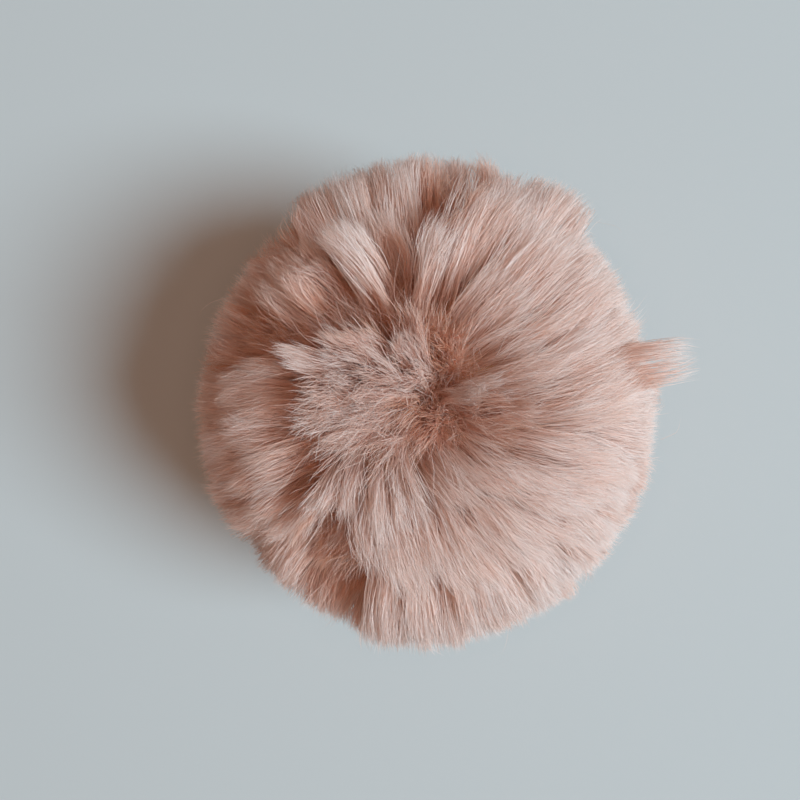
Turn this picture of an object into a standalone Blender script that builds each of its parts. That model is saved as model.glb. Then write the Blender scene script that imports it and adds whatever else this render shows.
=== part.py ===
"""A long-pile fur pom pom: one stuffed ball whose pile parts into tufts, resting on its pressed underside.

Metres, +Z up. The origin is the middle of the flat underside. A bearing turns anticlockwise from +X, and a
polar angle runs from straight up. Every tuft is a bundle of tapered locks that leave the ball's middle and
bend over the way the pile is combed. The bundles and the packed pile between them are merged into one
solid, and hollows are scooped out where the pile parts.
"""

import math

import bmesh
import bpy
from mathutils import Matrix, Vector

MM = 0.001

# The ball
PILE_REACH = 50 * MM  # a usual tuft's tip, from the ball's centre
CENTRE_HEIGHT = 42 * MM  # of the centre over the surface: the pile under it is pressed flat
BACKING_RADIUS = 25 * MM  # the stuffed ball of backing cloth, where the pile starts
PACKED_RADIUS = 39 * MM  # to here the pile stands too close to part
PACKED_UNDER = 47 * MM  # the same straight under the centre, where it is pressed together
CENTRE = Vector((0, 0, CENTRE_HEIGHT))

# A lock's way from root to tip
RISE = 1.6  # over 1: it stands up first, and levels out towards the tip
SWEEP = 1.4  # over 1: it bends over late
PRESSED_SPREAD = 0.8  # the share of what the surface presses back that spreads outwards
FIRST_SECTION = 0.3  # a lock is modelled from here, inside the packed pile, to its tip
SECTIONS = 8
TIP_THICKNESS = 0.16  # of the lock's thickest place
TAPER = 1.7  # over 1: it keeps its thickness for longer

# A tuft's bundle of locks
FAN_LOCKS = 5
RING_LOCKS = 3
LOCK_THICKNESS = 0.66  # of the tuft
SUNK = 0.6  # of a lock's half thickness, which its middle line lies under the pile's reach
ROOT_SPREAD = 0.42  # from the tuft's middle, in tuft thicknesses
TIP_SPREAD = 0.36
SHORTEST_LOCK = 0.92  # of the tuft's reach
GOLDEN_ANGLE = math.pi * (3 - math.sqrt(5))

# The merged surface
VOXEL = 1.1 * MM
SMOOTHING_ROUNDS = 3
TRIANGLES_KEPT = 9400
RIM_SIDES = 10  # round a lock, as bevel_resolution gives

# The combed tufts of the upper half. One row is a fan of tufts side by side:
# name, tufts, tip bearing first and last, tip polar first and last, tip reach in mm first and last,
# root bearing first and last, root polar first and last, tuft thickness in mm
FANS = [
    ("crown_middle", 2, (165, 190), (9, 9), (49.5, 49.5), (112, 170), (7, 5), 9),
    ("crown_top", 2, (150, 112), (10, 8), (50.0, 49.5), (135, 96), (9, 7), 9),
    ("small_right_tuft", 1, (22, 22), (12, 12), (49.8, 49.8), (38, 38), (8, 8), 6),
    ("crown_inner", 2, (204, 178), (13, 13), (50.0, 50.0), (192, 168), (11, 11), 10),
    ("crown_left", 3, (206, 170), (17, 20), (50.5, 51.0), (199, 166), (16, 19), 9),
    ("shelf_tip", 1, (162, 162), (31, 31), (51.5, 51.5), (160, 160), (24, 24), 7),
    ("crown_shelf", 3, (154, 131), (24, 18), (51.0, 51.0), (151, 128), (21, 15), 9),
    ("crown_shelf_right", 3, (122, 100), (17, 13), (50.5, 50.0), (118, 98), (15, 11), 9),
    ("up_left_lock", 1, (119, 119), (44, 44), (51.0, 51.0), (113, 113), (26, 26), 8),
    ("up_lock", 1, (87, 87), (37, 37), (50.5, 50.5), (100, 100), (24, 24), 7),
    ("up_right_lock", 2, (78, 72), (53, 53), (51.5, 51.0), (86, 80), (25, 26), 8),
    ("top_left_mid", 2, (112, 101), (50, 50), (47.5, 46.5), (110, 101), (35, 36), 12),
    ("low_swirl_left", 3, (-116, -84), (27, 21), (51.0, 50.5), (-148, -132), (17, 12), 8),
    ("low_swirl_right", 3, (-72, -38), (20, 22), (49.5, 49.0), (-118, -72), (9, 9), 9),
    ("lower_sweep", 6, (-104, -6), (36, 43), (49.5, 48.0), (-122, -22), (21, 21), 14),
    ("lower_left_lock", 1, (-138, -138), (32, 32), (49.5, 49.5), (-154, -154), (23, 23), 8),
    ("lower_left_lock_inner", 1, (-128, -128), (27, 27), (49.5, 49.5), (-152, -152), (20, 20), 7),
    ("beside_low_valley", 1, (-134, -134), (45, 45), (48.0, 48.0), (-143, -143), (33, 33), 8),
    ("right_inner", 4, (69, 12), (33, 27), (50.5, 49.5), (80, 25), (19, 14), 11),
    ("right_sweep", 9, (68, 4), (50, 41), (51.0, 49.0), (76, -9), (27, 21), 14),
    ("left_mid", 3, (202, 168), (52, 54), (45.8, 45.8), (202, 168), (38, 38), 11),
    ("left_upper_mid", 1, (146, 146), (60, 60), (46.0, 46.0), (147, 147), (47, 47), 10),
    ("upper_left_lobe", 2, (129, 143), (51, 50), (47.5, 47.0), (129, 142), (40, 38), 12),
    ("top_left", 4, (118, 96), (73, 73), (51.5, 50.5), (117, 98), (50, 49), 13),
    ("top_tuft", 1, (85, 85), (80, 80), (51.5, 51.5), (84, 84), (66, 66), 9),
    ("upper_right", 3, (77, 66), (73, 73), (50.0, 50.5), (75, 68), (45, 43), 13),
    ("upper_right_peak", 2, (61, 54), (74, 74), (51.8, 51.8), (64, 56), (45, 45), 13),
    ("right_upper", 2, (46, 34), (72, 70), (48.5, 47.0), (49, 36), (44, 44), 14),
    ("right_tuft_foot", 2, (26, 2), (60, 60), (47.0, 47.5), (26, 3), (41, 41), 13),
    ("right_rim", 3, (30, 2), (88, 88), (46.0, 46.5), (30, 2), (66, 66), 14),
    ("right_tuft", 1, (11.5, 11.5), (62, 62), (56.5, 56.5), (14.5, 14.5), (41, 41), 7),
    ("right_lower", 2, (-3, -9), (74, 74), (47.5, 46.0), (-3, -9), (46, 45), 13),
    ("lower_rim", 8, (-14, -102), (74, 74), (45.2, 50.3), (-14, -105), (44, 42), 14),
    ("bottom_left", 2, (-119, -134), (74, 72), (48.0, 47.0), (-122, -138), (62, 58), 13),
    ("lower_left_tuft", 2, (-157, -146), (48, 54), (48.0, 47.5), (-156, -148), (34, 44), 11),
    ("left", 5, (208, 166), (74, 74), (48.5, 47.0), (208, 165), (58, 58), 13),
    ("left_upper", 1, (143, 143), (73, 73), (47.2, 47.2), (143, 143), (60, 60), 12),
]

# Where the pile parts and shows its packed foot. One row is a round scoop out of it:
# name, bearing, polar, half width in degrees, the floor's distance from the ball's centre in mm
HOLLOWS = [
    ("middle", 150, 1, 4.5, 39),
    ("middle_left", 190, 6, 4, 39),
    ("middle_right", -20, 5, 4.5, 39),
    ("middle_low", -110, 5, 4.5, 38.5),
    ("right_of_middle", -4, 13, 5, 39),
    ("right_of_middle_low", -16, 17, 4, 40),
    ("groove_end", 55, 8, 3, 41),
    ("groove", 75, 11, 4, 39),
    ("groove_middle", 85, 14, 3.5, 40),
    ("groove_start", 90, 17, 3, 41),
    ("under_shelf", 129, 27, 5, 38),
    ("under_shelf_left", 140, 31, 5, 38),
    ("under_shelf_deep", 134, 33, 5, 38),
    ("left_valley_inner", 153, 44, 5, 38),
    ("left_valley", 155, 55, 6, 38),
    ("left_valley_rim", 155, 66, 6, 39),
    ("left_of_shelf", 164, 33, 4, 38),
    ("left_of_crown", 175, 33, 4, 37.5),
    ("in_left_lobe", 186, 32, 5, 38),
    ("left_of_low_locks", 203, 31, 5, 38),
    ("beside_low_locks", -150, 31, 4, 39),
    ("beside_low_locks_end", -149, 37, 4, 40),
    ("top_valley_foot", 101, 30, 3.5, 38),
    ("top_valley_left", 103, 35, 4, 38),
    ("top_valley_left_end", 104, 40, 4, 39),
    ("top_valley_middle", 98, 44, 4.5, 38.5),
    ("top_valley", 88, 46, 5.5, 38),
    ("top_valley_end", 84, 54, 7, 38),
    ("top_valley_rim", 81, 63, 7, 39),
    ("lower_left_valley_foot", -132, 32, 4, 37),
    ("lower_left_valley", -127, 39, 6.5, 36),
    ("lower_left_valley_end", -121, 47, 7.5, 36),
    ("lower_left_valley_rim", -117, 56, 6.5, 38),
    ("lower_left_valley_outer", -114, 66, 5, 40),
    ("upper_left_notch", 131, 72, 4.5, 41),
    ("lower_left_notch", -143, 72, 5, 40),
]

# The plain pile round the lower half. One row is a ring of even tufts:
# tufts, tip polar, root polar, tip reach in mm, tuft thickness in mm
RINGS = [
    (14, 95, 82, 49.5, 15),
    (13, 114, 103, 49.5, 16),
    (11, 132, 123, 49.0, 16),
    (8, 150, 143, 48.5, 17),
]
RING_UNEVENNESS = 7  # degrees that a ring's tufts stray from their even places


def direction(bearing, polar):
    """The unit vector at a bearing and a polar angle in degrees."""
    b, p = math.radians(bearing), math.radians(polar)
    return Vector((math.sin(p) * math.cos(b), math.sin(p) * math.sin(b), math.cos(p)))


def between(pair, share):
    return pair[0] + (pair[1] - pair[0]) * share


def tufts():
    """Each tuft as its tip direction, root direction, reach, thickness and number of locks."""
    found = []
    for _, count, tip_b, tip_p, reaches, root_b, root_p, thick in FANS:
        for k in range(count):
            share = k / (count - 1) if count > 1 else 0.5
            tip = direction(between(tip_b, share), between(tip_p, share))
            root = direction(between(root_b, share), between(root_p, share))
            found.append((tip, root, between(reaches, share) * MM, thick * MM, FAN_LOCKS))
    for row, (count, tip_p, root_p, reach, thick) in enumerate(RINGS):
        for k in range(count):
            stray = RING_UNEVENNESS * math.sin(GOLDEN_ANGLE * len(found) * 3)
            bearing = 360 * (k + row / 2) / count + stray
            tip = direction(bearing, tip_p + stray / 2)
            found.append((tip, direction(bearing, root_p), reach * MM, thick * MM, RING_LOCKS))
    return found


def pressed(point):
    """A point of the pile kept on or over the surface, moved outwards by a share of what that presses back."""
    depth = max(0.0, -point.z)
    outwards = Vector((point.x, point.y, 0)).normalized()
    return Vector((point.x, point.y, max(point.z, 0.0))) + outwards * depth * PRESSED_SPREAD


def lock_way(tip, root, reach):
    """The points of a lock's middle line, from inside the packed pile to the tip."""
    points = []
    for k in range(SECTIONS):
        t = FIRST_SECTION + (1 - FIRST_SECTION) * k / (SECTIONS - 1)
        radius = BACKING_RADIUS + (reach - BACKING_RADIUS) * (1 - (1 - t) ** RISE)
        points.append(pressed(CENTRE + root.slerp(tip, t**SWEEP) * radius))
    return points


def across(axis):
    """Two directions square to axis and to each other."""
    side = axis.cross(Vector((0, 0, 1)) if abs(axis.z) < 0.9 else Vector((1, 0, 0))).normalized()
    return side, axis.cross(side)


def bundle(curve, number, tip, root, reach, thick, locks):
    """Adds one tuft's locks to the curve: one in its middle if they are many, and the others round it."""
    tip_sides, root_sides = across(tip), across(root)
    for k in range(locks):
        turn = GOLDEN_ANGLE * (number + 1) + 2 * math.pi * k / (locks if locks < 4 else locks - 1)
        away = 0.0 if k == 0 and locks > 3 else 1.0
        round_it = (away * math.cos(turn), away * math.sin(turn))
        ends = []
        for middle, sides, spread in ((tip, tip_sides, TIP_SPREAD), (root, root_sides, ROOT_SPREAD)):
            offset = sides[0] * round_it[0] + sides[1] * round_it[1]
            ends.append((middle + offset * spread * thick / PACKED_RADIUS).normalized())
        length = 1.0 if k == 0 else SHORTEST_LOCK + (1 - SHORTEST_LOCK) * abs(math.sin(3 * turn))
        way = lock_way(ends[0], ends[1], reach * length)
        spline = curve.splines.new("POLY")
        spline.points.add(len(way) - 1)
        for i, (point, place) in enumerate(zip(spline.points, way)):
            share = i / (len(way) - 1)
            point.radius = TIP_THICKNESS + (1 - TIP_THICKNESS) * (1 - share**TAPER)
            sunk = SUNK * point.radius * thick * LOCK_THICKNESS / 2 if locks == FAN_LOCKS else 0
            point.co = (*(place - (place - CENTRE).normalized() * sunk), 1)


def mesh_of(obj):
    """The evaluated shape of an object as a mesh of its own, with a curve's loose caps welded."""
    graph = bpy.context.evaluated_depsgraph_get()
    mesh = bpy.data.meshes.new_from_object(obj.evaluated_get(graph))
    made = bmesh.new()
    made.from_mesh(mesh)
    bmesh.ops.remove_doubles(made, verts=made.verts, dist=1e-6)
    made.to_mesh(mesh)
    made.free()
    return mesh


def locks_mesh(every_tuft, thick):
    """The bundles of all tufts of one thickness, as one mesh of tapered closed tubes."""
    curve = bpy.data.curves.new("locks", "CURVE")
    curve.dimensions = "3D"
    curve.bevel_depth = thick * LOCK_THICKNESS / 2
    curve.bevel_resolution = (RIM_SIDES - 4) // 2
    curve.use_fill_caps = True
    for number, tuft in enumerate(every_tuft):
        if tuft[3] == thick:
            bundle(curve, number, *tuft)
    obj = bpy.data.objects.new("locks", curve)
    bpy.context.scene.collection.objects.link(obj)
    bpy.context.view_layer.update()
    mesh = mesh_of(obj)
    bpy.data.objects.remove(obj)
    return mesh


def packed_ball():
    """The ball of packed pile that the tufts stand out of."""
    ball = bmesh.new()
    bmesh.ops.create_icosphere(ball, subdivisions=5, radius=1)
    for vert in ball.verts:
        under = max(0.0, -vert.co.z) ** 2
        vert.co = CENTRE + vert.co * (PACKED_RADIUS + (PACKED_UNDER - PACKED_RADIUS) * under)
    mesh = bpy.data.meshes.new("packed")
    ball.to_mesh(mesh)
    ball.free()
    return mesh


def scoops_mesh():
    """The scoops of all hollows, each as deep as its floor lies under the pile's usual reach."""
    scoops = bmesh.new()
    for _, bearing, polar, half_width, floor in HOLLOWS:
        way = direction(bearing, polar)
        half = PILE_REACH * math.radians(half_width)
        size = Matrix.Diagonal((half, half, PILE_REACH - floor * MM, 1))
        turn = way.to_track_quat("Z", "Y").to_matrix().to_4x4()
        place = Matrix.Translation(CENTRE + way * PILE_REACH) @ turn @ size
        bmesh.ops.create_icosphere(scoops, subdivisions=3, radius=1, matrix=place)
    mesh = bpy.data.meshes.new("scoops")
    scoops.to_mesh(mesh)
    scoops.free()
    return mesh


def merged(meshes):
    """Several meshes as one, not yet joined where they cross."""
    whole = bmesh.new()
    for mesh in meshes:
        whole.from_mesh(mesh)
    made = bpy.data.meshes.new("pile")
    whole.to_mesh(made)
    whole.free()
    return made


def fur_material():
    material = bpy.data.materials.new("blush_fur")
    material.use_nodes = True
    shader = material.node_tree.nodes["Principled BSDF"]
    shader.inputs["Base Color"].default_value = (0.58, 0.38, 0.32, 1)
    shader.inputs["Roughness"].default_value = 0.9
    shader.inputs["Metallic"].default_value = 0.0
    return material


def surface_mesh():
    """A slab whose top is the surface that the ball rests on."""
    side, depth = 4 * PILE_REACH, PILE_REACH
    slab = bmesh.new()
    place = Matrix.Translation((0, 0, -depth / 2)) @ Matrix.Diagonal((side, side, depth, 1))
    bmesh.ops.create_cube(slab, size=1, matrix=place)
    mesh = bpy.data.meshes.new("surface")
    slab.to_mesh(mesh)
    slab.free()
    return mesh


def cutter(name, mesh, collection):
    tool = bpy.data.objects.new(name, mesh)
    collection.objects.link(tool)
    tool.hide_render = True
    tool.display_type = "WIRE"
    return tool


def cut(obj, name, tool):
    step = obj.modifiers.new(name, "BOOLEAN")
    step.operation = "DIFFERENCE"
    step.object = tool


def union(obj):
    """Makes one closed surface of the crossing shapes of an object."""
    step = obj.modifiers.new("union", "REMESH")
    step.mode = "VOXEL"
    step.voxel_size = VOXEL


def largest_island(mesh):
    """The mesh without what the scoops leave loose."""
    made = bmesh.new()
    made.from_mesh(mesh)
    islands, seen = [], set()
    for first in made.verts:
        if first in seen:
            continue
        seen.add(first)
        island, edge = [first], [first]
        while edge:
            for link in edge.pop().link_edges:
                for vert in link.verts:
                    if vert not in seen:
                        seen.add(vert)
                        island.append(vert)
                        edge.append(vert)
        islands.append(island)
    islands.sort(key=len)
    loose = [vert for island in islands[:-1] for vert in island]
    bmesh.ops.delete(made, geom=loose, context="VERTS")
    made.to_mesh(mesh)
    made.free()
    return mesh


def parted_pile(cutters):
    """The packed pile and every tuft as one closed surface, with the hollows scooped out."""
    every_tuft = tufts()
    thicknesses = sorted({tuft[3] for tuft in every_tuft})
    bundles = [locks_mesh(every_tuft, thick) for thick in thicknesses]
    pile = bpy.data.objects.new("pile", merged([packed_ball(), *bundles]))
    bpy.context.scene.collection.objects.link(pile)
    union(pile)
    scoops = cutter("scoops", scoops_mesh(), cutters)
    union(scoops)
    cut(pile, "hollows", scoops)
    union(pile)
    bpy.context.view_layer.update()
    mesh = largest_island(mesh_of(pile))
    bpy.data.objects.remove(pile)
    return mesh


def fur_ball(collection, cutters):
    mesh = parted_pile(cutters)
    ball = bpy.data.objects.new("fur_ball", mesh)
    collection.objects.link(ball)
    ball.data.materials.append(fur_material())
    soften = ball.modifiers.new("soften", "SMOOTH")
    soften.iterations = SMOOTHING_ROUNDS
    fewer = ball.modifiers.new("fewer_faces", "DECIMATE")
    fewer.ratio = TRIANGLES_KEPT / sum(len(face.vertices) - 2 for face in mesh.polygons)
    cut(ball, "flat_foot", cutter("resting_surface", surface_mesh(), cutters))


def main():
    for obj in list(bpy.data.objects):
        bpy.data.objects.remove(obj)
    pom_pom = bpy.data.collections.new("fur_pom_pom")
    cutters = bpy.data.collections.new("cutters")
    for collection in (pom_pom, cutters):
        bpy.context.scene.collection.children.link(collection)
    fur_ball(pom_pom, cutters)


main()
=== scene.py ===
"""The looks of a long-pile fur pom pom: combed locks of pile, fibre by fibre, over a ball of underfur dark
with painted shade.

Metres, +Z up. A bearing turns anticlockwise from +X, and a polar angle runs from straight up. The pile is
built in four steps, each gathered into the one before it: tuft, lock, wisp and fibre. In the functions, t is
a place along a fibre: 0 at its root and 1 at the tip of its lock.
"""

import math

import bmesh
import bpy
import numpy as np
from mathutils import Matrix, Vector, kdtree


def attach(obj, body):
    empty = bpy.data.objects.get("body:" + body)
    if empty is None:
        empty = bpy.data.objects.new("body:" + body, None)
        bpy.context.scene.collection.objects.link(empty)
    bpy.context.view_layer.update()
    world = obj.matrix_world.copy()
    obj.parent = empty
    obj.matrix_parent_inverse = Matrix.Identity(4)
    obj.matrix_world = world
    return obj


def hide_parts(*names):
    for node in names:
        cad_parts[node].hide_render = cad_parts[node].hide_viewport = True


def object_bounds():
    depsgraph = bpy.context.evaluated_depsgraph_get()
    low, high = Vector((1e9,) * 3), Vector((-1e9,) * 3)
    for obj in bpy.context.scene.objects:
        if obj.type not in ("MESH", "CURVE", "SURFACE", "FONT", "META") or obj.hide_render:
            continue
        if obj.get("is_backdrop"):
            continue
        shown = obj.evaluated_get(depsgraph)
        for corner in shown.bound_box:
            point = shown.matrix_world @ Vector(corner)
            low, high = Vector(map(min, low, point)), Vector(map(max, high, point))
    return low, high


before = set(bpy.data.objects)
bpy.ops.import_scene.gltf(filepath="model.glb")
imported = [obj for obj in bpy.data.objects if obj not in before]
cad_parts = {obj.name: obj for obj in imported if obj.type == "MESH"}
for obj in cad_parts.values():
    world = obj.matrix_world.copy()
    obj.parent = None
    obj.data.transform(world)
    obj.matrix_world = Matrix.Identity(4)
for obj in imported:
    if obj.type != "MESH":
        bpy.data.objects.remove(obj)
CAD_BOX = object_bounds()

MM = 0.001
NODE = "fur_ball"
CENTRE = np.array((0.0, 0.0, 42 * MM))

# The pile's depth, from the ball's centre
BACKING_RADIUS = 25 * MM  # where a lock's curve starts
UNDERFUR_RADIUS = 33 * MM  # what is nearer to the centre never shows
UNDERFUR_COVER = 0.5 * MM  # how far the underfur covers the fibres' cut feet
USUAL_REACH = 48 * MM  # of a lock's tip
RISE = 1.6  # over 1: a lock stands up first, and levels out towards the tip
SWEEP = 1.4  # over 1: it bends over late
PRESSED_SPREAD = 0.8  # the share of what the surface presses back that spreads outwards

# How many of each, over the whole ball
LOCKS = 1100
WISPS = 9500
FIBRES = 165000
WOOL_FIBRES = 14000

# How close the pile stands, compared with the sides
UNDER_DENSITY = 0.45
UNDER_HEIGHT = 0.25  # of the radius: this far below the widest line it is as thin as underneath
CROWN_DENSITY = 2.6
CROWN_POLAR = 28  # degrees over which the crown's density falls to the sides'
HEIGHT_STEPS = 2001  # of the sum that spreads the directions

# How locks, wisps and fibres differ from their neighbours, where a spread is one standard deviation
TUFT_BLEND = math.radians(7)  # tufts of one fan share their locks over about this angle
LOCK_REACH_SPREAD = 0.011
LOCK_TONE_SPREAD = 0.07
WISP_STRAY = 0.02  # how far a wisp's tip wanders where the ruffle is 1, in radians
WISP_LENGTH_SPREAD = 0.03
WISP_TONE_SPREAD = 0.07
WISP_TURNS = 1.1  # of a wisp's wave, from root to tip
FIBRE_TONE_SPREAD = 0.13
LONGEST = 1.02  # of its lock: the longest fibre
HIDDEN_FOOT = 0.32  # up to this much of a fibre's foot is left out, where it never shows
CROSSING_STRAY = 4  # a crossing fibre wanders this many times as far
LEAST_COMBED = 0.3  # of its lock's turn: a fibre that stays furthest behind the comb
PER_AXIS = 0.6  # a random offset's share along each of three axes
PACES = (0.7, 1.3)  # slowest and fastest wave, of the turns given
STRAY_GROWTH = 1.5  # over 1: waves and wandering grow late, towards the tip
WISP_GATHERS = 2  # over 1: fibres join their wisp early
LOCK_GATHERS = 1.5  # over 1: wisps join their lock early

# A fibre is a flat ribbon
FIBRE_WIDTH = 0.10 * MM
WIDTHS = (0.75, 1.25)  # narrowest and widest fibre, of that
ROLL = 55  # degrees that it turns at most from facing outwards
ROOT_WIDTH = 0.75  # of its width
WIDTH_GAIN = 0.5  # of its width, from root to tip, before the taper closes it
TAPER = 2.2  # over 1: it closes late

# The short wool in the hollows
WOOL_LENGTH = 10 * MM
WOOL_LENGTHS = (0.5, 1.2)  # shortest and longest, of that
WOOL_SPREAD = 1.1  # half widths of its hollow
WOOL_STRAY = 0.11
WOOL_WAVE = 0.8  # mm at the tip
WOOL_TURNS = 1.0
WOOL_TONE = 0.5
WOOL_TONE_SPREAD = 0.2
WOOL_PALE_RADIUS = 50 * MM  # wool that reached this far out would be as pale as a tip, free of the painted shade deep in the pile

# The pieces of the pile: how many sections their fibres have, and where the crown, the shoulder and the four
# sides end, by the polar angle of a lock's root
PILE_SECTIONS = {"pile_crown": 4, "pile_shoulder": 4, "pile_right": 3, "pile_back": 3, "pile_left": 3,
                 "pile_front": 3, "pile_under": 3}
CROWN_EDGE = 23
SHOULDER_EDGE = 40
SIDES_EDGE = 103
WOOL_SECTIONS = 3
HAIR_SECTIONS = 14

# A fan is tufts side by side, combed one way:
# name, style, tufts, tip bearing first and last, tip polar first and last, tip reach in mm first and last,
# root bearing first and last, root polar first and last
FANS = [
    ("crown_middle", "tangled", 3, (148, 196), (12, 11), (49.5, 49.5), (112, 165), (7, 5)),
    ("crown_top", "tangled", 2, (156, 112), (13, 8), (50.3, 49.5), (135, 96), (9, 7)),
    ("small_right_tuft", "sleek", 1, (28, 28), (12, 12), (49.8, 49.8), (44, 44), (8, 8)),
    ("middle_low", "pit", 2, (-150, -90), (11, 9), (44.5, 44.5), (-140, -80), (5, 4)),
    ("groove", "pit", 2, (90, 70), (17, 12), (47.5, 47.5), (90, 66), (15, 10)),
    ("right_hollow_floor", "combed", 1, (-8, -8), (19, 19), (47.0, 47.0), (-8, -8), (12, 12)),
    ("crown_inner", "tangled", 2, (212, 182), (15, 16), (50.0, 50.0), (196, 160), (8.5, 10)),
    ("crown_heart", "tangled", 2, (153, 162), (18, 15.5), (50.3, 50.3), (141, 153), (9.5, 12)),
    ("swirl_foot", "tangled", 1, (-141, -141), (13, 13), (50.5, 50.5), (-147, -147), (8, 8)),
    ("crown_left", "tangled", 3, (208, 172), (18, 20.5), (50.5, 51.0), (196, 162), (14, 15)),
    ("shelf_tip", "spiky", 1, (161, 161), (31, 31), (52.0, 52.0), (158, 158), (23, 23)),
    ("shelf_foot", "floor", 2, (147, 165), (36, 37), (40.0, 41.5), (147, 163), (29, 30)),
    ("left_hollow_floor", "floor", 3, (203, 170), (33, 36), (41.5, 41.5), (203, 169), (24, 25)),
    ("crown_shelf", "shelf", 3, (155, 131), (24, 18), (51.0, 51.0), (150, 126), (17, 12)),
    ("crown_shelf_right", "shelf", 3, (122, 100), (17, 13), (50.5, 50.0), (117, 97), (12, 9)),
    ("up_left_lock", "lock", 1, (119, 119), (42, 42), (51.0, 51.0), (113, 113), (26, 26)),
    ("up_lock", "lock", 1, (87, 87), (37, 37), (50.5, 50.5), (100, 100), (24, 24)),
    ("up_right_lock", "sleek", 2, (78, 72), (53, 53), (51.5, 51.0), (86, 80), (25, 26)),
    ("beside_up_right_lock", "sleek", 1, (75, 75), (26, 26), (50.6, 50.6), (78, 78), (17.5, 17.5)),
    ("top_left_mid", "combed", 2, (112, 101), (50, 50), (47.5, 46.5), (110, 101), (35, 36)),
    ("top_valley_floor", "floor", 3, (90, 80), (48, 66), (39.5, 43.0), (91, 82), (40, 56)),
    ("under_shelf_floor", "floor", 2, (131, 138), (31, 35), (39.0, 41.0), (131, 138), (25, 30)),
    ("low_swirl_left", "sleek", 2, (-118, -102), (27, 24), (51.0, 50.8), (-150, -142), (17, 15)),
    ("low_swirl_lock", "lock", 1, (-86, -86), (22, 22), (51.5, 51.5), (-146, -146), (12.5, 12.5)),
    ("low_swirl_right", "combed", 3, (-72, -38), (20, 22), (49.5, 49.0), (-118, -72), (9, 9)),
    ("lower_sweep", "streaky", 6, (-104, -6), (36, 43), (49.5, 48.0), (-122, -22), (21, 21)),
    ("lower_left_lock", "lock", 1, (-138, -138), (32, 32), (49.5, 49.5), (-154, -154), (23, 23)),
    ("lower_left_lock_inner", "lock", 1, (-128, -128), (27, 27), (49.5, 49.5), (-152, -152), (20, 20)),
    ("beside_low_valley", "tufty", 1, (-134, -134), (45, 45), (48.0, 48.0), (-143, -143), (33, 33)),
    ("low_valley_floor", "floor", 3, (-130, -117), (46, 62), (39.0, 43.5), (-130, -117), (36, 54)),
    ("right_inner", "combed", 4, (69, 12), (33, 27), (50.5, 49.5), (80, 25), (19, 14)),
    ("right_sweep", "combed", 9, (68, 4), (50, 41), (51.0, 49.0), (76, -9), (27, 21)),
    ("left_mid", "tufty", 3, (202, 168), (50, 51), (46.6, 46.6), (202, 168), (35, 34)),
    ("left_valley_floor", "floor", 2, (154, 154), (48, 62), (40.5, 43.0), (154, 154), (38, 52)),
    ("left_upper_mid", "tufty", 1, (146, 146), (60, 60), (46.0, 46.0), (147, 147), (47, 47)),
    ("upper_left_lobe", "tufty", 2, (129, 143), (51, 50), (47.5, 47.0), (129, 142), (42, 41)),
    ("top_left", "combed", 4, (118, 96), (73, 73), (51.5, 50.5), (117, 98), (50, 49)),
    ("top_tuft", "tufty", 1, (85, 85), (80, 80), (51.5, 51.5), (84, 84), (66, 66)),
    ("upper_right", "combed", 3, (77, 66), (73, 73), (50.0, 50.5), (75, 68), (45, 43)),
    ("upper_right_peak", "combed", 2, (61, 54), (74, 74), (53.0, 53.0), (64, 56), (45, 45)),
    ("right_upper", "combed", 2, (46, 34), (72, 70), (48.5, 47.0), (49, 36), (44, 44)),
    ("right_tuft_foot", "combed", 2, (24, 4), (60, 60), (47.0, 47.5), (22, 7), (41, 41)),
    ("right_rim", "combed", 3, (30, 2), (88, 88), (46.0, 46.5), (30, 2), (66, 66)),
    ("beside_right_tuft", "combed", 2, (23, 5), (73, 73), (45.0, 47.0), (21, 7), (54, 54)),
    ("right_tuft", "spiky", 2, (16, 7), (62, 62), (57.0, 55.0), (17, 11), (41, 42)),
    ("right_lower", "combed", 2, (-3, -9), (74, 74), (47.5, 46.0), (-3, -9), (46, 45)),
    ("lower_rim", "streaky", 8, (-14, -102), (74, 74), (45.2, 50.3), (-14, -105), (44, 42)),
    ("bottom_left", "tufty", 2, (-119, -134), (74, 72), (48.0, 47.0), (-122, -138), (62, 58)),
    ("lower_left_tuft", "tufty", 2, (-157, -146), (48, 54), (48.0, 47.5), (-156, -148), (34, 44)),
    ("left", "tufty", 5, (208, 166), (74, 74), (48.5, 47.0), (208, 165), (58, 58)),
    ("left_upper", "tufty", 1, (143, 143), (73, 73), (47.2, 47.2), (143, 143), (60, 60)),
]
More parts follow.
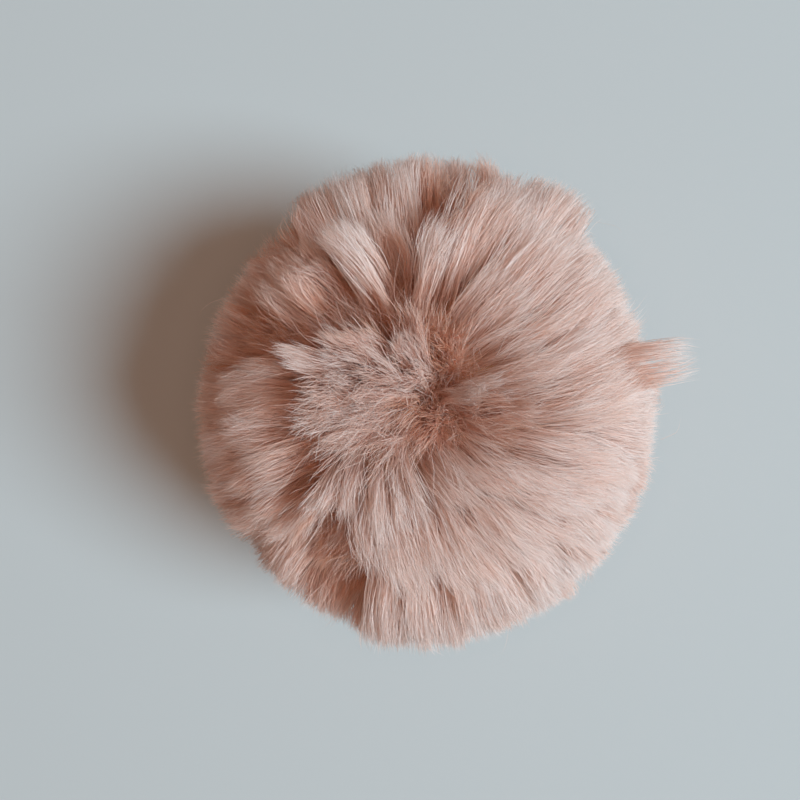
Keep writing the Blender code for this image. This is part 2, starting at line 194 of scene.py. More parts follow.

# A hollow is where the pile parts and its foot shows:
# name, bearing, polar, half width in degrees, and how far the pile is pressed aside, of that half width.
# The pile in a hollow is darkened with painted shade, less where it is pressed aside less.
HOLLOWS = [
    ("under_shelf", 129, 27, 5, 1),
    ("under_shelf_left", 141, 31, 4.5, 1),
    ("under_shelf_deep", 134, 34, 5.5, 1),
    ("left_valley_inner", 153, 44, 3.5, 1),
    ("left_valley", 155, 55, 4, 1),
    ("left_valley_rim", 155, 66, 5, 0.6),
    ("middle_left", 190, 6, 3, 0.25),
    ("middle", 150, 1, 3.5, 0.25),
    ("middle_right", -20, 5, 3.5, 0.3),
    ("middle_low", -110, 5, 3, 0.2),
    ("right_of_middle", -4, 13, 3.5, 0.5),
    ("right_of_middle_low", -16, 17, 3, 0.3),
    ("groove_end", 55, 8, 2, 0.3),
    ("groove", 75, 11, 3, 0.5),
    ("groove_middle", 85, 14, 2.5, 0.5),
    ("groove_start", 90, 17, 2, 0.4),
    ("top_valley_foot", 101, 31, 3, 1),
    ("top_valley_left", 104, 40, 3, 1),
    ("top_valley", 88, 46, 5, 1),
    ("top_valley_end", 84, 54, 6, 1),
    ("top_valley_rim", 81, 63, 5.5, 1),
    ("left_of_low_locks", 203, 31, 3.5, 1),
    ("left_of_crown", 175, 32, 3, 1),
    ("in_left_lobe", 186, 34, 3, 1),
    ("lower_left_valley_foot", -132, 32, 3, 1),
    ("lower_left_valley", -127, 39, 5, 1),
    ("lower_left_valley_end", -121, 47, 6, 1),
    ("lower_left_valley_rim", -117, 56, 5, 1),
    ("upper_left_notch", 131, 74, 7, 1),
    ("left_notch_low", 168, 72, 3, 1),
    ("lower_left_notch", -143, 75, 7, 1),
    ("right_notch", 20, 74, 3, 1),
]
CROSSING = 0.16  # the share of fibres that fall across a hollow
HOLLOW_FULL_FROM = 0.625  # of its lock: from here up a fibre is pressed aside in full
HOLLOW_SHADE_WIDTH = 1.3  # of its half width: how far out a hollow's painted shade darkens the pile
HOLLOW_LEAST_SHADE = 0.2  # of the full painted shade, where the pile isn't pressed aside
PAINTED_HOLLOW_SHADE = 0.3  # painted shade: how much darker the pile is in the middle of a hollow
HOLLOW_DEPTH_SHADE = 0.45  # painted shade: how much of its depth a fibre loses there, as if only its foot showed

# A hair is one long loose fibre: name, bearing, polar and reach in mm, each from first to last
HAIRS = [
    ("left", (164, 180), (26, 43), (48.5, 53.0)),
    ("shelf_end", (158, 164), (27, 34), (49.0, 53.0)),
    ("shelf_left", (152, 149), (23, 31), (49.0, 53.0)),
    ("shelf_middle", (146, 139), (21, 29), (49.0, 53.0)),
    ("shelf_right", (138, 131), (19, 26), (49.0, 52.5)),
    ("crown", (180, 205), (12, 20), (48.5, 52.0)),
    ("top_valley", (94, 84), (22, 33), (48.5, 52.0)),
    ("top_lock", (108, 100), (22, 30), (48.5, 52.5)),
    ("over_pit", (215, 260), (9, 7), (47.0, 50.5)),
    ("right", (20, 4), (12, 26), (47.5, 51.5)),
    ("low_right", (-60, -42), (22, 38), (48.0, 51.0)),
    ("lower_left", (-160, -148), (24, 35), (48.5, 52.0)),
    ("upper_right_rim", (50, 42), (66, 80), (50.0, 52.5)),
    ("right_rim", (-8, -3), (68, 82), (48.0, 51.5)),
    ("bottom_rim", (-70, -76), (66, 80), (48.0, 52.5)),
    ("left_rim", (150, 158), (64, 78), (46.0, 50.5)),
]
HAIR_WIDTH = 0.6  # of a fibre of the pile
HAIR_TURNS = 0.8
HAIR_WAVE = 1.0  # mm at the tip
HAIR_TONE = 0.5
HAIR_ROOT_DEPTH = 0.6  # a hair's root has as much painted shade as the pile this far up

# A ring is the plain pile round the lower half: tufts, tip polar, root polar, tip reach in mm
RINGS = [
    (14, 95, 82, 48.5),
    (13, 114, 103, 49.5),
    (11, 132, 123, 49.0),
    (8, 150, 143, 48.5),
    (1, 180, 180, 47.0),
]
RING_UNEVENNESS = 7  # degrees that a ring's tufts stray from their even places

# How the pile of a fan hangs together:
# tuft_pinch, lock_pinch, wisp_pinch: what is left at the tip of an offset from the parent's middle
# stray: how far a lock's tip wanders, in degrees
# ruffle: how far a wisp's tip does, of WISP_STRAY
# cross, crossing: how far a fibre's tip does, in radians, and the share of fibres that wander much more
# lazy: how far fibres stay behind the comb
# wave, frizz, turns: the waves of a wisp and of a fibre at the tip, in mm, and how often a fibre's turns
# shortest, uneven: the shortest fibre, of its lock, and how the lengths spread: over 1, most are short
# tone: from dark 0 to pale 1; the low tones of floor and pit are painted shade at the foot of hollows
# paling: under 1, a fibre's painted shade of depth gives way sooner above its root
STYLES = {
    "combed": dict(tuft_pinch=0.9, lock_pinch=0.88, wisp_pinch=0.82, stray=1.4, ruffle=1.0, cross=0.016,
                   crossing=0.03, lazy=0.06, wave=0.7, frizz=0.45, turns=1.3, shortest=0.70, uneven=0.5,
                   tone=0.72, paling=0.5),
    "tufty": dict(tuft_pinch=0.6, lock_pinch=0.55, wisp_pinch=0.65, stray=3.5, ruffle=1.2, cross=0.016,
                  crossing=0.03, lazy=0.07, wave=0.9, frizz=0.6, turns=1.4, shortest=0.68, uneven=0.5,
                  tone=0.58, paling=1.0),
    "tangled": dict(tuft_pinch=0.7, lock_pinch=0.95, wisp_pinch=0.55, stray=2.5, ruffle=2.6, cross=0.016,
                    crossing=0.28, lazy=0.1, wave=0.9, frizz=0.6, turns=1.8, shortest=0.80, uneven=0.5,
                    tone=0.64, paling=0.8),
    "shelf": dict(tuft_pinch=0.65, lock_pinch=0.8, wisp_pinch=0.55, stray=2.0, ruffle=1.2, cross=0.012,
                  crossing=0.06, lazy=0.06, wave=0.5, frizz=0.3, turns=1.2, shortest=0.80, uneven=0.5,
                  tone=0.62, paling=1.0),
    # painted shade: a pit's low tone darkens the foot of the crown's hollows
    "pit": dict(tuft_pinch=0.8, lock_pinch=0.8, wisp_pinch=0.6, stray=4.0, ruffle=2.0, cross=0.02,
                crossing=0.2, lazy=0.1, wave=0.7, frizz=0.4, turns=1.2, shortest=0.60, uneven=0.5,
                tone=0.3, paling=0.6),
    # painted shade: a floor's low tone darkens the foot of valleys and hollows
    "floor": dict(tuft_pinch=0.9, lock_pinch=0.8, wisp_pinch=0.6, stray=4.0, ruffle=1.5, cross=0.02,
                  crossing=0.1, lazy=0.1, wave=0.6, frizz=0.4, turns=1.2, shortest=0.60, uneven=0.5,
                  tone=0.1, paling=1.0),
    "sleek": dict(tuft_pinch=0.8, lock_pinch=0.6, wisp_pinch=0.7, stray=1.5, ruffle=0.8, cross=0.012,
                  crossing=0.03, lazy=0.05, wave=0.7, frizz=0.45, turns=1.4, shortest=0.75, uneven=0.5,
                  tone=0.85, paling=0.5),
    "lock": dict(tuft_pinch=0.28, lock_pinch=0.45, wisp_pinch=0.6, stray=1.5, ruffle=0.8, cross=0.012,
                 crossing=0.03, lazy=0.05, wave=0.8, frizz=0.45, turns=1.4, shortest=0.78, uneven=0.5,
                 tone=0.85, paling=0.8),
    "spiky": dict(tuft_pinch=0.3, lock_pinch=0.45, wisp_pinch=0.35, stray=0.8, ruffle=0.7, cross=0.010,
                  crossing=0.05, lazy=0.03, wave=0.5, frizz=0.3, turns=1.2, shortest=0.55, uneven=1.4,
                  tone=0.8, paling=1.0),
    "streaky": dict(tuft_pinch=0.85, lock_pinch=0.65, wisp_pinch=0.75, stray=1.5, ruffle=1.0, cross=0.016,
                    crossing=0.03, lazy=0.06, wave=0.8, frizz=0.45, turns=1.3, shortest=0.70, uneven=0.5,
                    tone=0.74, paling=0.7),
    "under": dict(tuft_pinch=0.7, lock_pinch=0.6, wisp_pinch=0.65, stray=4.0, ruffle=1.0, cross=0.016,
                  crossing=0.03, lazy=0.07, wave=0.9, frizz=0.5, turns=1.3, shortest=0.68, uneven=0.5,
                  tone=0.68, paling=1.0),
}
TONES = 24  # steps of fibre colour, from dark to pale
LAST_TONE = 0.999  # just within the palest step
EDGES_IN_TONE = (0.1, 0.9)  # where a ribbon's two edges lie in that step, on the map
DEPTH_SHADE_FADE = (0.15, 0.85)  # where along a fibre's depth its painted shade starts and ends giving way to its own tip colour

# The surface, and the camera, which looks straight down
FLOOR_SIZE = 12
CAMERA_DISTANCE = 178 * MM  # from the ball's centre
FRAME_HALF = 85 * MM  # what half of the picture spans at the ball's centre
SENSOR_WIDTH = 36  # mm
SHIFT = (-0.0375, 0.009)  # from the ball's middle to the picture's, right and up, of its width

TINY = 1e-9  # keeps a division from failing
SOME_AXIS = np.array((0.3, 0.5, 0.8))  # helps to find an axis for a turn of nothing

rng = np.random.default_rng(27)


def unit(v):
    """Vectors made 1 long."""
    return v / np.linalg.norm(v, axis=-1, keepdims=True)


def direction(bearing, polar):
    """Unit vectors at bearings and polar angles in degrees."""
    b, p = np.radians(bearing), np.radians(polar)
    return np.stack([np.sin(p) * np.cos(b), np.sin(p) * np.sin(b), np.cos(p)], axis=-1)


def turned(v, axis, angle):
    """Vectors turned about unit axes by angles in radians."""
    c, s = np.cos(angle)[..., None], np.sin(angle)[..., None]
    along = np.sum(axis * v, axis=-1, keepdims=True)
    return v * c + np.cross(axis, v) * s + axis * along * (1 - c)


def turn_between(a, b):
    """The unit axis and the angle that turn directions a into b."""
    axis = np.cross(a, b)
    size = np.linalg.norm(axis, axis=-1)
    still = size < TINY
    axis[still] = unit(np.cross(a[still], SOME_AXIS))
    return unit(axis), np.arctan2(size, np.sum(a * b, axis=-1))


def density(z):
    """How close the pile stands at the height z of a direction: 1 at the sides."""
    polar = np.degrees(np.arccos(np.clip(z, -1, 1)))
    crown = (CROWN_DENSITY - 1) * np.exp(-((polar / CROWN_POLAR) ** 2))
    return 1 + crown - (1 - UNDER_DENSITY) * np.clip(-z / UNDER_HEIGHT, 0, 1)


def spread_directions(count):
    """Count directions over the ball in a jittered golden spiral, as close as the pile's density says."""
    z = np.linspace(1, -1, HEIGHT_STEPS)
    filled = np.concatenate([[0], np.cumsum((density(z[1:]) + density(z[:-1])) / 2)])
    k = np.arange(count)
    height = np.interp((k + 0.5) / count, filled / filled[-1], z)
    bearing = k * np.pi * (3 - math.sqrt(5))
    ring = np.sqrt(1 - height**2)
    points = np.stack([ring * np.cos(bearing), ring * np.sin(bearing), height], axis=-1)
    jitter = 1.0 / np.sqrt(count * density(height))
    return unit(points + rng.normal(0, 1, points.shape) * jitter[:, None])


def nearest(points, parents):
    """For each point the index of the nearest parent."""
    tree = kdtree.KDTree(len(parents))
    for k, parent in enumerate(parents):
        tree.insert(parent, k)
    tree.balance()
    return np.array([tree.find(point)[1] for point in points])


def tufts():
    """Every tuft's tip and root direction, its reach, its fan's number and its style's name."""
    tips, roots, reaches, fans, styles = [], [], [], [], []
    for fan, (_, style, count, tip_b, tip_p, reach, root_b, root_p) in enumerate(FANS):
        tips.append(direction(np.linspace(*tip_b, count), np.linspace(*tip_p, count)))
        roots.append(direction(np.linspace(*root_b, count), np.linspace(*root_p, count)))
        reaches.append(np.linspace(*reach, count) * MM)
        fans += [fan] * count
        styles += [style] * count
    for row, (count, tip_p, root_p, reach) in enumerate(RINGS):
        stray = rng.uniform(-RING_UNEVENNESS, RING_UNEVENNESS, count)
        bearing = 360 * (np.arange(count) + row / 2) / count + stray
        tips.append(direction(bearing, tip_p + stray / 2))
        roots.append(direction(bearing, np.full(count, root_p)))
        reaches.append(np.full(count, reach * MM))
        fans += [len(FANS) + row] * count
        styles += ["under"] * count
    return (np.concatenate(tips), np.concatenate(roots), np.concatenate(reaches), np.array(fans),
            np.array(styles))


def style_values(styles, key):
    """What each of the named styles has for a key."""
    return np.array([STYLES[style][key] for style in styles])


def comb_locks():
    """The locks' roots, the turns that comb them over, their reaches and the names of their styles."""
    tips, roots, reaches, fans, styles = tufts()
    lock_roots = spread_directions(LOCKS)
    mine = nearest(lock_roots, roots)
    axis, angle = turn_between(roots, tips)
    lock_tips = np.zeros_like(lock_roots)
    lock_reach = np.zeros(len(lock_roots))
    pinch = style_values(styles, "tuft_pinch")
    for k, root in enumerate(lock_roots):
        fan = np.flatnonzero(fans == fans[mine[k]])
        apart = np.arccos(np.clip(roots[fan] @ root, -1, 1))
        weight = np.exp(-((apart - apart.min()) / TUFT_BLEND))
        weight /= weight.sum()
        moved = turned(np.repeat(root[None], len(fan), 0), axis[fan], angle[fan])
        gathered = unit(tips[fan] + pinch[fan, None] * (moved - tips[fan]))
        lock_tips[k] = unit((gathered * weight[:, None]).sum(0))
        lock_reach[k] = (reaches[fan] * weight).sum()
    wander = np.radians(style_values(styles[mine], "stray"))[:, None]
    lock_tips = unit(lock_tips + wander * rng.normal(0, PER_AXIS, lock_tips.shape))
    lock_reach *= 1 + rng.normal(0, LOCK_REACH_SPREAD, len(lock_reach))
    lock_axis, lock_angle = turn_between(lock_roots, lock_tips)
    return dict(root=lock_roots, axis=lock_axis, angle=lock_angle, reach=lock_reach, style=styles[mine])


def pressed(points):
    """Points of the pile kept on or over the surface, and spread outwards by a share of what it presses."""
    depth = np.maximum(0, -points[..., 2:3])
    flat = points * np.array((1, 1, 0))
    outwards = flat / np.maximum(np.linalg.norm(flat, axis=-1, keepdims=True), TINY)
    lifted = np.concatenate([points[..., :2], np.maximum(points[..., 2:3], 0)], axis=-1)
    return lifted + outwards * depth * PRESSED_SPREAD


def part_at_hollows(way, t):
    """Directions (fibres, rows, 3) moved aside from the middle of each hollow.

    With them come, for each fibre, how far inside a hollow it is and how much painted shade that gives it,
    both 0 to 1.
    """
    parted = (rng.random(len(way)) > CROSSING)[:, None, None]
    pressed_share = np.clip(t[..., None] / HOLLOW_FULL_FROM, 0, 1) * parted
    inside, shade = np.zeros(len(way)), np.zeros(len(way))
    for _, bearing, polar, half_width, parting in HOLLOWS:
        middle = direction(bearing, polar)
        width = math.radians(half_width)
        aside = way - middle
        apart = np.linalg.norm(aside, axis=-1, keepdims=True)
        # painted shade: a hollow darkens the fibres near its middle, less where the pile is pressed aside
        # less; crossing fibres get none
        near = np.exp(-((apart[:, -2, 0] / (HOLLOW_SHADE_WIDTH * width)) ** 2))
        inside = np.maximum(inside, near)
        shade = np.maximum(shade, (HOLLOW_LEAST_SHADE + (1 - HOLLOW_LEAST_SHADE) * parting) * near)
        push = parting * width * np.exp(-((apart / width) ** 2)) * pressed_share
        way = unit(way + aside / np.maximum(apart, TINY) * push)
    return way, inside * parted[:, 0, 0], shade * parted[:, 0, 0]


def pile_pieces():
    """Each piece of the pile: its name, and its fibres' middle lines (fibres, rows, 3), tones and depths."""
    locks = comb_locks()
    wisps = spread_directions(WISPS)
    root = spread_directions(int(FIBRES * (1)))
    wisp = nearest(root, wisps)
    lock = nearest(wisps, locks["root"])[wisp]
    region = region_of(locks["root"])[lock]
    made = dict(
        locks=locks,
        wisps=wisps,
        wisp_stray=rng.normal(0, WISP_STRAY, wisps.shape),
        wisp_length=1 + rng.normal(0, WISP_LENGTH_SPREAD, len(wisps)),
        wisp_wave=wave_kinds(len(wisps), WISP_TURNS),
        wisp_tone=rng.normal(0, WISP_TONE_SPREAD, len(wisps)),
        lock_tone=rng.normal(0, LOCK_TONE_SPREAD, len(locks["root"])),
    )
    for name, sections in PILE_SECTIONS.items():
        mine = region == name
        yield name, grow(made, root[mine], wisp[mine], lock[mine], sections)


def grow(made, root, wisp, lock, sections):
    """The middle lines, tones and depths of one piece's fibres."""
    locks, wisps = made["locks"], made["wisps"]
    style = {key: style_values(locks["style"], key)[lock] for key in STYLES["combed"]}
    count = len(root)
    hidden = (UNDERFUR_RADIUS - BACKING_RADIUS) / (USUAL_REACH - BACKING_RADIUS)
    first = 1 - (1 - hidden) ** (1 / RISE)
    length = style["shortest"] + (LONGEST - style["shortest"]) * rng.random(count) ** style["uneven"]
    length *= made["wisp_length"][wisp]
    start = first + HIDDEN_FOOT * np.sqrt(rng.random(count))
    t = start[:, None] + (length - start)[:, None] * np.linspace(0, 1, sections + 1)[None]

    left = 1 - t.clip(0, 1)
    near_wisp = style["wisp_pinch"][:, None] + (1 - style["wisp_pinch"][:, None]) * left**WISP_GATHERS
    near_lock = style["lock_pinch"][:, None] + (1 - style["lock_pinch"][:, None]) * left**LOCK_GATHERS
    stray = rng.normal(0, 1, (count, 3)) * style["cross"][:, None]
    stray[rng.random(count) < style["crossing"]] *= CROSSING_STRAY
    wander = made["wisp_stray"][wisp] * style["ruffle"][:, None] + stray
    way = locks["root"][lock][:, None] + near_lock[..., None] * (wisps[wisp] - locks["root"][lock])[:, None]
    way = way + near_wisp[..., None] * (root - wisps[wisp])[:, None]
    way = way + (t**STRAY_GROWTH)[..., None] * wander[:, None]
    axis = np.repeat(locks["axis"][lock][:, None], sections + 1, 1)
    combed = np.clip(1 - rng.exponential(1, count) * style["lazy"], LEAST_COMBED, 1)
    way = turned(unit(way), axis, (locks["angle"][lock] * combed)[:, None] * t**SWEEP)
    way, inside, shade = part_at_hollows(way, t)

    reach = locks["reach"][lock][:, None]
    radius = BACKING_RADIUS + (reach - BACKING_RADIUS) * (1 - np.sign(1 - t) * np.abs(1 - t) ** RISE)
    points = CENTRE + way * radius[..., None]
    points += waves(made["wisp_wave"], wisp, t, style["wave"])
    points += waves(wave_kinds(count, style["turns"]), np.arange(count), t, style["frizz"])
    # the tone is the fibre's own colour step with its random spread, less the painted shade of a hollow
    tone = style["tone"] + made["lock_tone"][lock] + made["wisp_tone"][wisp]
    tone = tone + rng.normal(0, FIBRE_TONE_SPREAD, count) - PAINTED_HOLLOW_SHADE * shade
    # painted shade: the lower a place along the fibre, the nearer its colour is to the dark root colour
    depth = t.clip(0, 1) ** style["paling"][:, None] * (1 - HOLLOW_DEPTH_SHADE * inside)[:, None]
    return pressed(points), tone, depth


def grow_wool():
    """The short crossing wool at the foot of the pile, in the hollows: middle lines, tones and depths."""
    area = np.array([half_width**2 for _, _, _, half_width, _ in HOLLOWS])
    share = area / area.sum()
    count = int(WOOL_FIBRES * (1))
    mine = rng.choice(len(HOLLOWS), count, p=share)
    middle = np.array([direction(bearing, polar) for _, bearing, polar, _, _ in HOLLOWS])[mine]
    spread = WOOL_SPREAD * np.radians(np.sqrt(area))[mine, None]
    root = unit(middle + rng.normal(0, 1, middle.shape) * spread)
    row = np.linspace(0, 1, WOOL_SECTIONS + 1)[None]
    length = WOOL_LENGTH * rng.uniform(*WOOL_LENGTHS, count)
    way = unit(root[:, None] + row[..., None] * rng.normal(0, WOOL_STRAY, (count, 3))[:, None])
    radius = UNDERFUR_RADIUS + length[:, None] * row
    # painted shade: the wool is darker the nearer it stays to the underfur
    depth = (radius - BACKING_RADIUS) / (WOOL_PALE_RADIUS - BACKING_RADIUS)
    points = CENTRE + way * radius[..., None]
    kinds = wave_kinds(count, WOOL_TURNS)
    points += waves(kinds, np.arange(count), row.repeat(count, 0), np.full(count, WOOL_WAVE))
    return pressed(points), WOOL_TONE + rng.normal(0, WOOL_TONE_SPREAD, count), depth


def grow_hairs():
    """The few long loose hairs: middle lines, tones and depths."""
    count = len(HAIRS)
    t = np.linspace(0, 1, HAIR_SECTIONS + 1)[None].repeat(count, 0)
    _, bearings, polars, reaches = (np.array(column) for column in zip(*HAIRS))
    way = direction(bearings[:, :1] + np.diff(bearings) * t, polars[:, :1] + np.diff(polars) * t)
    radius = (reaches[:, :1] + np.diff(reaches) * np.sin(t * np.pi / 2)) * MM
    points = CENTRE + way * radius[..., None]
    points += waves(wave_kinds(count, HAIR_TURNS), np.arange(count), t, np.full(count, HAIR_WAVE))
    # painted shade: a hair starts partly towards the dark root colour
    return points, np.full(count, HAIR_TONE), HAIR_ROOT_DEPTH + (1 - HAIR_ROOT_DEPTH) * t


def wave_kinds(count, turns):
    """The two directions, the phase and the pace of each of count waves."""
    aside, other = rng.normal(0, PER_AXIS, (count, 3)), rng.normal(0, PER_AXIS, (count, 3))
    phase = rng.random(count) * 2 * np.pi
    pace = turns * rng.uniform(*PACES, count)
    return aside, other, phase, pace


def waves(kinds, kind, t, size_mm):
    """Offsets (fibres, rows, 3) of each fibre by its kind of wave, which grows to size_mm at the tip."""
    aside, other, phase, pace = (values[kind][:, None] for values in kinds)
    angle = phase + 2 * np.pi * pace * t
    wave = aside * np.sin(angle)[..., None] + other * np.cos(angle)[..., None]
    return wave * ((size_mm * MM)[:, None] * t**STRAY_GROWTH)[..., None]


def ribbons(points, width):
    """Vertices (fibres, 2 * sections + 1, 3) of flat tapered ribbons along the middle lines."""
    count = len(points)
    along = np.gradient(points, axis=1)
    outwards = points - CENTRE
    side = unit(np.cross(along, outwards) + TINY)
    face = unit(np.cross(side, along))
    roll = np.radians(rng.uniform(-ROLL, ROLL, count))[:, None, None]
    side = side * np.cos(roll) + face * np.sin(roll)
    rows = points.shape[1]
    share = np.linspace(0, 1, rows)
    taper = (ROOT_WIDTH + WIDTH_GAIN * share) * (1 - share**TAPER)
    half = side * (width[:, None] * taper[None] / 2)[..., None]
    edges = np.stack([points - half, points + half], axis=2)[:, :-1].reshape(count, 2 * (rows - 1), 3)
    return np.concatenate([edges, points[:, -1:]], axis=1)


def ribbon_mesh(name, verts, tone, depth):
    """One joined mesh of ribbons. Its map holds a fibre's tone across, with the painted shade of a hollow,
    and its depth in the pile upwards, which sets the painted shade deep in the pile.
    """
    count, per = verts.shape[:2]
    sections = (per - 1) // 2
    base = (np.arange(count) * per)[:, None]
    quads = np.concatenate([base + np.array((2 * k, 2 * k + 1, 2 * k + 3, 2 * k + 2))
                            for k in range(sections - 1)]).reshape(-1, 4)
    tips = base + np.array((per - 3, per - 2, per - 1))
    corners = np.concatenate([quads.ravel(), tips.ravel()])
    starts = np.concatenate([np.arange(len(quads)) * 4, quads.size + np.arange(count) * 3])

    mesh = bpy.data.meshes.new(name)
    mesh.vertices.add(count * per)
    mesh.vertices.foreach_set("co", verts.astype(np.float32).ravel())
    mesh.loops.add(len(corners))
    mesh.loops.foreach_set("vertex_index", corners.astype(np.int32))
    mesh.polygons.add(len(starts))
    mesh.polygons.foreach_set("loop_start", starts.astype(np.int32))
    mesh.polygons.foreach_set("use_smooth", np.ones(len(starts), dtype=bool))

    step = np.floor(np.clip(tone, 0, LAST_TONE) * TONES)
    near_edge, far_edge = EDGES_IN_TONE
    u = np.empty((count, per))
    u[:, 0:-1:2] = ((step + near_edge) / TONES)[:, None]
    u[:, 1:-1:2] = ((step + far_edge) / TONES)[:, None]
    u[:, -1] = (step + 0.5) / TONES
    v = np.empty((count, per))
    v[:, 0:-1:2] = depth[:, :-1]
    v[:, 1:-1:2] = depth[:, :-1]
    v[:, -1] = depth[:, -1]
    uv = np.stack([u.ravel(), v.ravel()], axis=-1)[corners]
    layer = mesh.uv_layers.new(name="OFBake")
    layer.data.foreach_set("uv", uv.astype(np.float32).ravel())
    mesh.update(calc_edges=True)
    return mesh


def region_of(lock_root):
    """The piece that each lock belongs to. A side is a quarter of the way round, the right one about +X."""
    polar = np.degrees(np.arccos(np.clip(lock_root[:, 2], -1, 1)))
    bearing = np.degrees(np.arctan2(lock_root[:, 1], lock_root[:, 0])) % 360
    sides = np.array(["pile_right", "pile_back", "pile_left", "pile_front"])
    region = sides[(((bearing + 45) % 360) // 90).astype(int)]
    region = np.where(polar < SHOULDER_EDGE, "pile_shoulder", region)
    region = np.where(polar < CROWN_EDGE, "pile_crown", region)
    return np.where(polar > SIDES_EDGE, "pile_under", region)


def fibre_colour_group():
    """Fibre colour from tone (dark 0 to pale 1) and depth in the pile (root 0 to tip 1). The dark warm root
    colour deep in the pile is painted shade; the tips show the fibres' own colour.
    """
    group = bpy.data.node_groups.new("fibre colour", "ShaderNodeTree")
    for name, kind, default in (
        ("Tone", "NodeSocketFloat", 0.5),
        ("Depth", "NodeSocketFloat", 1.0),
        # painted shade deep in the pile
        ("Shaded root", "NodeSocketColor", (0.76, 0.36, 0.20, 1)),
        ("Dark tip", "NodeSocketColor", (0.85, 0.50, 0.36, 1)),
        ("Pale tip", "NodeSocketColor", (0.98, 0.86, 0.81, 1)),
    ):
        socket = group.interface.new_socket(name, in_out="INPUT", socket_type=kind)
        socket.default_value = default
    group.interface.new_socket("Color", in_out="OUTPUT", socket_type="NodeSocketColor")
    nodes, links = group.nodes, group.links
    given, made = nodes.new("NodeGroupInput"), nodes.new("NodeGroupOutput")
    tip = nodes.new("ShaderNodeMix")
    tip.data_type = "RGBA"
    links.new(given.outputs["Tone"], tip.inputs["Factor"])
    links.new(given.outputs["Dark tip"], tip.inputs["A"])
    links.new(given.outputs["Pale tip"], tip.inputs["B"])
    reach = nodes.new("ShaderNodeMapRange")
    reach.interpolation_type = "SMOOTHSTEP"
    reach.inputs["From Min"].default_value, reach.inputs["From Max"].default_value = DEPTH_SHADE_FADE
    links.new(given.outputs["Depth"], reach.inputs["Value"])
    whole = nodes.new("ShaderNodeMix")
    whole.data_type = "RGBA"
    links.new(reach.outputs["Result"], whole.inputs["Factor"])
    links.new(given.outputs["Shaded root"], whole.inputs["A"])
    links.new(tip.outputs["Result"], whole.inputs["B"])
    links.new(whole.outputs["Result"], made.inputs["Color"])
    return group


def new_material(name):
    """A material, its nodes and its links."""
    material = bpy.data.materials.new(name)
    material.use_nodes = True
    return material, material.node_tree.nodes, material.node_tree.links


def pile_material(group):
    """Fine shiny fibres that let a little light through."""
    material, nodes, links = new_material("blush pile")
    shader = nodes["Principled BSDF"]
    shader.inputs["Roughness"].default_value = 0.5
    shader.inputs["Specular IOR Level"].default_value = 0.04
    place = nodes.new("ShaderNodeUVMap")
    place.uv_map = "OFBake"
    split = nodes.new("ShaderNodeSeparateXYZ")
    links.new(place.outputs["UV"], split.inputs["Vector"])
    colour = nodes.new("ShaderNodeGroup")
    colour.node_tree = group
    links.new(split.outputs["X"], colour.inputs["Tone"])
    links.new(split.outputs["Y"], colour.inputs["Depth"])
    links.new(colour.outputs["Color"], shader.inputs["Base Color"])
    through = nodes.new("ShaderNodeBsdfTranslucent")
    deeper = nodes.new("ShaderNodeGamma")
    deeper.inputs["Gamma"].default_value = 1.5
    links.new(colour.outputs["Color"], deeper.inputs["Color"])
    links.new(deeper.outputs["Color"], through.inputs["Color"])
    mix = nodes.new("ShaderNodeMixShader")
    mix.inputs["Fac"].default_value = 0.25
    links.new(shader.outputs["BSDF"], mix.inputs[1])
    links.new(through.outputs["BSDF"], mix.inputs[2])
    links.new(mix.outputs["Shader"], nodes["Material Output"].inputs["Surface"])
    return material


def underfur_material(group):
    """The short dense fur at the foot of the pile, matt, and dark with the painted shade of the deep pile.
    """
    material, nodes, links = new_material("dense underfur")
    shader = nodes["Principled BSDF"]
    shader.inputs["Roughness"].default_value = 0.95
    grain = nodes.new("ShaderNodeTexNoise")
    grain.inputs["Scale"].default_value = 900
    where = nodes.new("ShaderNodeTexCoord")
    links.new(where.outputs["Object"], grain.inputs["Vector"])
    colour = nodes.new("ShaderNodeGroup")
    colour.node_tree = group
    # painted shade: the underfur takes the dark root colour of the deep pile
    colour.inputs["Depth"].default_value = 0.2
    links.new(grain.outputs["Fac"], colour.inputs["Tone"])
    links.new(colour.outputs["Color"], shader.inputs["Base Color"])
    bump = nodes.new("ShaderNodeBump")
    bump.inputs["Strength"].default_value = 0.8
    bump.inputs["Distance"].default_value = 0.5 * MM
    links.new(grain.outputs["Fac"], bump.inputs["Height"])
    links.new(bump.outputs["Normal"], shader.inputs["Normal"])
    return material


def make_piece(name, mesh, material):
    """A visible piece that stands in for the ball of the model."""
    piece = bpy.data.objects.new(name, mesh)
    bpy.context.scene.collection.objects.link(piece)
    mesh.materials.append(material)
    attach(piece, "root")
    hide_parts(NODE)
    return piece


def make_pile(material):
    """Every piece of the pile."""
    wide = FIBRE_WIDTH / 1
    loose = (("pile_wool", grow_wool()), ("pile_hairs", grow_hairs()))
    for name, (points, tone, depth) in (*pile_pieces(), *loose):
        width = wide * rng.uniform(*WIDTHS, len(points))
        width *= HAIR_WIDTH if name == "pile_hairs" else 1
        mesh = ribbon_mesh(name, ribbons(points, width), tone, depth)
        print(name, len(points), "fibres", sum(len(p.vertices) - 2 for p in mesh.polygons), "triangles")
        make_piece(name, mesh, material)


def make_underfur(material):
    """The stuffed ball at the foot of the pile, which hides where the fibres start."""
    ball = bmesh.new()
    bmesh.ops.create_icosphere(ball, subdivisions=5, radius=UNDERFUR_RADIUS + UNDERFUR_COVER)
    for vert in ball.verts:
        vert.co += Vector(CENTRE)
    mesh = bpy.data.meshes.new("underfur")
    ball.to_mesh(mesh)
    ball.free()
    mesh.polygons.foreach_set("use_smooth", [True] * len(mesh.polygons))
    make_piece("underfur", mesh, material)


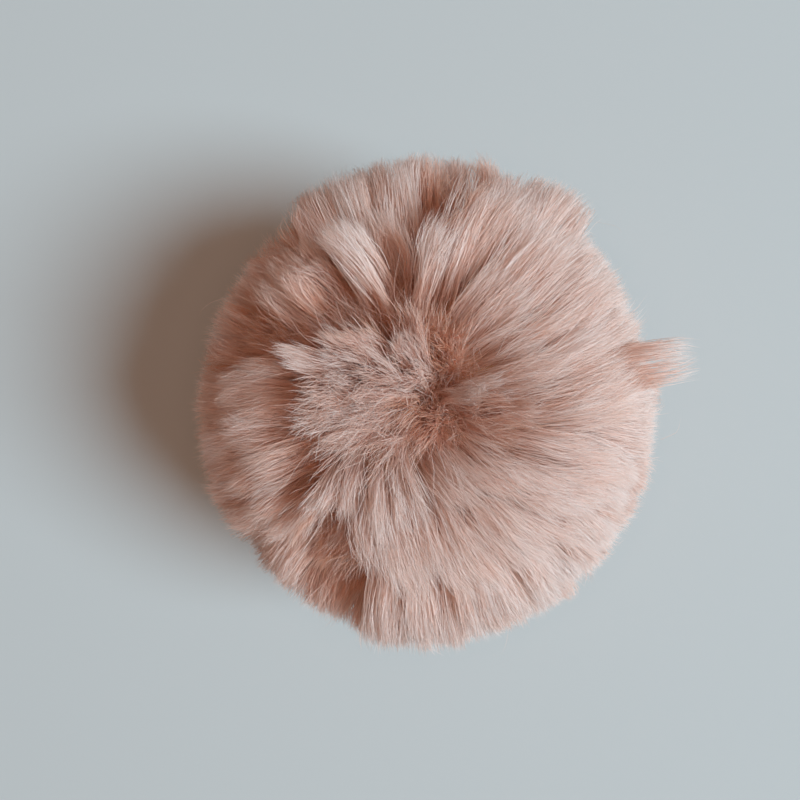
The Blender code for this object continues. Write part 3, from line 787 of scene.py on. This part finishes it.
def make_floor():
    """The pale surface that the ball lies on."""
    bpy.ops.mesh.primitive_plane_add(size=FLOOR_SIZE)
    floor = bpy.context.object
    floor.name = "floor"
    material, nodes, links = new_material("plain pale floor")
    nodes["Principled BSDF"].inputs["Base Color"].default_value = (0.54, 0.55, 0.54, 1)
    nodes["Principled BSDF"].inputs["Roughness"].default_value = 0.8
    floor.data.materials.append(material)
    floor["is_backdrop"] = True


def make_camera():
    """The camera straight above the ball."""
    camera = bpy.data.objects.new("camera", bpy.data.cameras.new("camera"))
    bpy.context.scene.collection.objects.link(camera)
    camera.location = Vector(CENTRE) + Vector((0, 0, CAMERA_DISTANCE))
    camera.data.sensor_width = SENSOR_WIDTH
    camera.data.lens = SENSOR_WIDTH / 2 * CAMERA_DISTANCE / FRAME_HALF
    camera.data.shift_x, camera.data.shift_y = SHIFT
    camera.data.clip_start = 10 * MM
    bpy.context.scene.camera = camera


def add_light(name, towards, distance, size, energy, colour):
    """A round area light that shines at the ball from a direction."""
    light = bpy.data.objects.new(name, bpy.data.lights.new(name, "AREA"))
    bpy.context.scene.collection.objects.link(light)
    light.data.shape = "DISK"
    light.data.size = size
    light.data.energy = energy
    light.data.color = colour
    light.location = Vector(CENTRE) + Vector(towards) * distance
    light.rotation_euler = Vector(towards).to_track_quat("Z", "Y").to_euler()


def make_lights():
    """A wide cool window from the right, a warm ceiling, and a very dim warm room all round."""
    add_light("window", direction(-13, 42), distance=4, size=1.9, energy=183, colour=(0.70, 0.92, 1.05))
    add_light("ceiling", direction(0, 0), distance=1.5, size=1.2, energy=7.6, colour=(1.0, 0.66, 0.50))
    world = bpy.data.worlds.new("room")
    bpy.context.scene.world = world
    world.use_nodes = True
    room = world.node_tree.nodes["Background"]
    room.inputs["Color"].default_value = (0.43, 0.29, 0.22, 1)
    room.inputs["Strength"].default_value = 0.08
    bpy.context.scene.view_settings.view_transform = "Standard"


def main():
    colour = fibre_colour_group()
    make_pile(pile_material(colour))
    make_underfur(underfur_material(colour))
    make_floor()
    make_camera()
    make_lights()
    boxes = {"cad": CAD_BOX, "visual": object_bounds()}
    {key: [list(map(float, corner)) for corner in box] for key, box in boxes.items()}


main()
